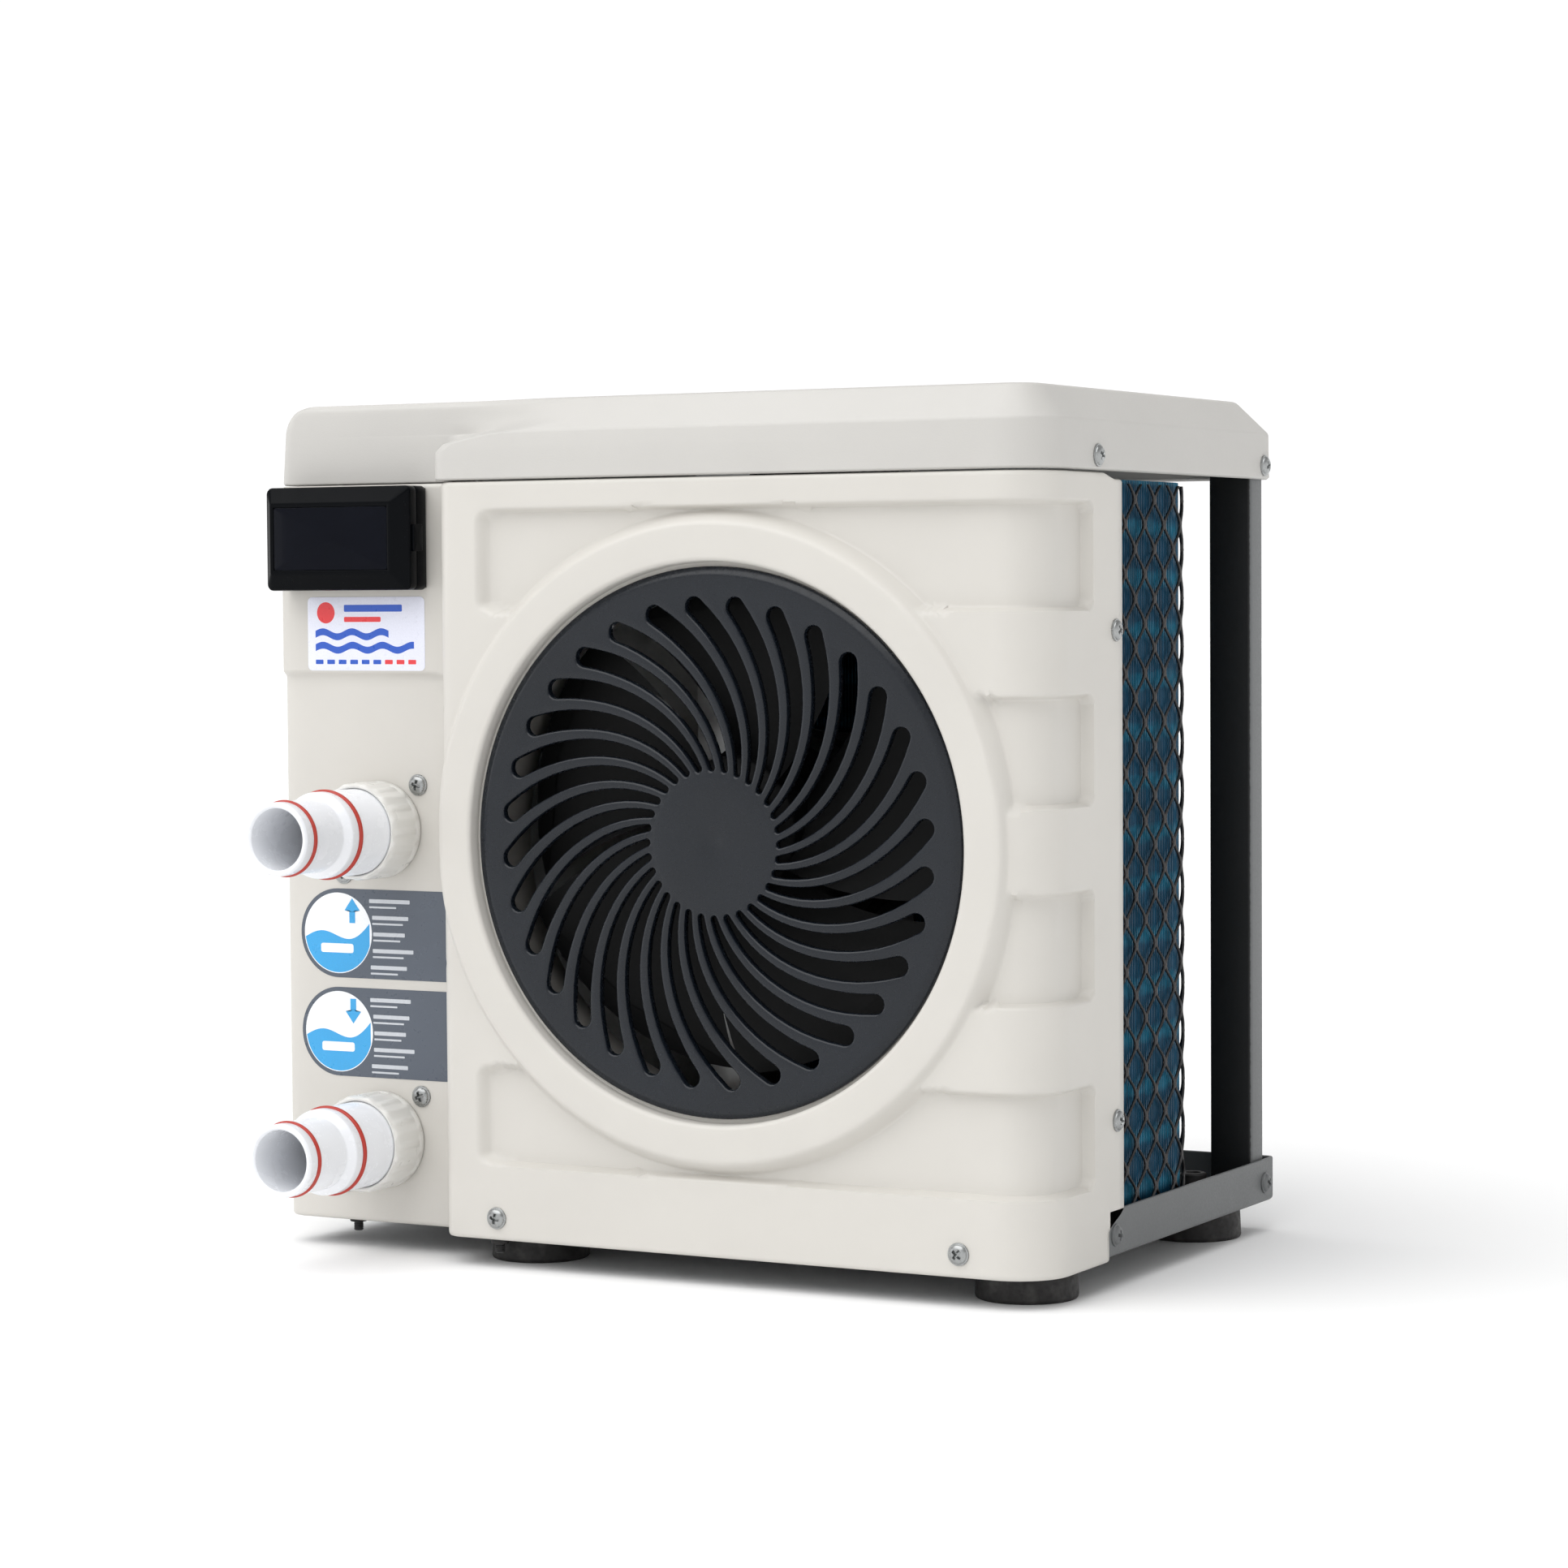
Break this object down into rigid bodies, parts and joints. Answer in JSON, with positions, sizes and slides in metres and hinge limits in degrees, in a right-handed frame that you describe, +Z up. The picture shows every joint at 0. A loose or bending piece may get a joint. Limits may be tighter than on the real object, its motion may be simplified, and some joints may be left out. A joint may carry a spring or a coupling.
{
  "type": "pool heat pump",
  "caption": "Compact pool heat pump: cream case with round fan grille, L-shaped finned coil, stepped hose tails with union nuts, and a controller under a hinged flap.",
  "frame": {"origin": "centre of the bounding box's base, on the floor under the feet", "axes": "+Z up, -Y out of the front face and along the hose tails, +X to the right as seen from the front"},
  "size_m": [0.3818, 0.31, 0.366],
  "materials": {
    "cream_plastic": "moulded, satin, fine grain",
    "cover_plastic": "moulded, fine grain",
    "painted_sheet": "powder coat",
    "slate_plastic": "moulded, satin",
    "fan_plastic": "moulded, matt",
    "grey_steel": "dark grey powder coat",
    "bare_sheet": "galvanised sheet",
    "black_steel": "black enamel",
    "zinc_screws": "zinc plated",
    "dull_screws": "painted over zinc",
    "fin_coating": "blue hydrophilic coating",
    "copper": "drawn copper tube",
    "net_plastic": "extruded net",
    "white_pvc": "moulded PVC",
    "nut_plastic": "moulded, slightly waxy",
    "red_rubber": "silicone",
    "black_rubber": "moulded rubber",
    "black_nylon": "moulded nylon",
    "gloss_black": "polished ABS",
    "panel_grey": "fine satin",
    "screen_glass": "liquid crystal display",
    "smoked_pane": "smoked",
    "button_grey": "soft keys",
    "name_film": "printed film",
    "flow_film": "printed film",
    "circuit_board": "solder mask"
  },
  "bodies": {
    "case": {"front_panel": "cream_plastic", "top_cover": "cover_plastic", "service_panel": "painted_sheet", "fan_grille": "slate_plastic", "electrical_box": "slate_plastic", "electrical_box_cover": "slate_plastic", "compressor_cap": "slate_plastic", "base_tray": "grey_steel", "rear_post": "grey_steel", "partition_plate": "bare_sheet", "motor_bracket": "bare_sheet", "coil_end_plates": "bare_sheet", "fan_motor": "bare_sheet", "compressor_shell": "black_steel", "suction_accumulator": "black_steel", "compressor_bolts": "zinc_screws", "lid_hinge_pin": "zinc_screws", "cover_screws": "zinc_screws", "panel_screws": "zinc_screws", "port_screws": "zinc_screws", "tray_screws": "dull_screws", "evaporator_fins": "fin_coating", "evaporator_tubes": "copper", "exchanger_coil": "copper", "discharge_pipe": "copper", "liquid_pipe": "copper", "suction_pipe": "copper", "coil_net": "net_plastic", "outlet_hose_tail": "white_pvc", "inlet_hose_tail": "white_pvc", "exchanger_shell": "white_pvc", "exchanger_cap": "white_pvc", "outlet_seals": "red_rubber", "inlet_seals": "red_rubber", "foot_front_left": "black_rubber", "foot_front_right": "black_rubber", "foot_rear_left": "black_rubber", "foot_rear_right": "black_rubber", "compressor_grommets": "black_rubber", "controller_gasket": "black_rubber", "base_studs": "black_rubber", "cable_gland": "black_nylon", "gland_nut": "black_nylon", "controller_base": "gloss_black", "controller_plate": "panel_grey", "display_screen": "screen_glass", "name_label": "name_film", "flow_labels": "flow_film", "control_board": "circuit_board"},
    "fan": {"fan_rotor": "fan_plastic", "fan_nut": "zinc_screws", "motor_shaft": "zinc_screws"},
    "outlet_nut": {"outlet_union_nut": "nut_plastic"},
    "inlet_nut": {"inlet_union_nut": "nut_plastic"},
    "controller_flap": {"controller_lid": "gloss_black", "lid_window": "smoked_pane"},
    "power_key": {"power_button": "button_grey"},
    "mode_key": {"mode_button": "button_grey"},
    "up_key": {"up_button": "button_grey"},
    "down_key": {"down_button": "button_grey"}
  },
  "joints": [
    {"name": "fan_spin", "type": "hinge", "parent": "case", "child": "fan", "pos_m": [0.0388, -0.072, 0.182], "axis": [0, 1, 0], "continuous": true},
    {"name": "flap_hinge", "type": "hinge", "parent": "case", "child": "controller_flap", "pos_m": [-0.1826, -0.08847, 0.3084], "axis": [0, 0, -1], "range_deg": [0, 110]},
    {"name": "outlet_nut_turn", "type": "hinge", "parent": "case", "child": "outlet_nut", "pos_m": [-0.1362, -0.088, 0.183], "axis": [0, 1, 0], "continuous": true},
    {"name": "inlet_nut_turn", "type": "hinge", "parent": "case", "child": "inlet_nut", "pos_m": [-0.1362, -0.088, 0.0486], "axis": [0, 1, 0], "continuous": true},
    {"name": "power_press", "type": "slide", "parent": "case", "child": "power_key", "axis": [0, 1, 0], "range_m": [0, 0.0008], "stiffness_N_per_m": 300},
    {"name": "mode_press", "type": "slide", "parent": "case", "child": "mode_key", "axis": [0, 1, 0], "range_m": [0, 0.0008], "stiffness_N_per_m": 300},
    {"name": "up_press", "type": "slide", "parent": "case", "child": "up_key", "axis": [0, 1, 0], "range_m": [0, 0.0008], "stiffness_N_per_m": 300},
    {"name": "down_press", "type": "slide", "parent": "case", "child": "down_key", "axis": [0, 1, 0], "range_m": [0, 0.0008], "stiffness_N_per_m": 300}
  ]
}
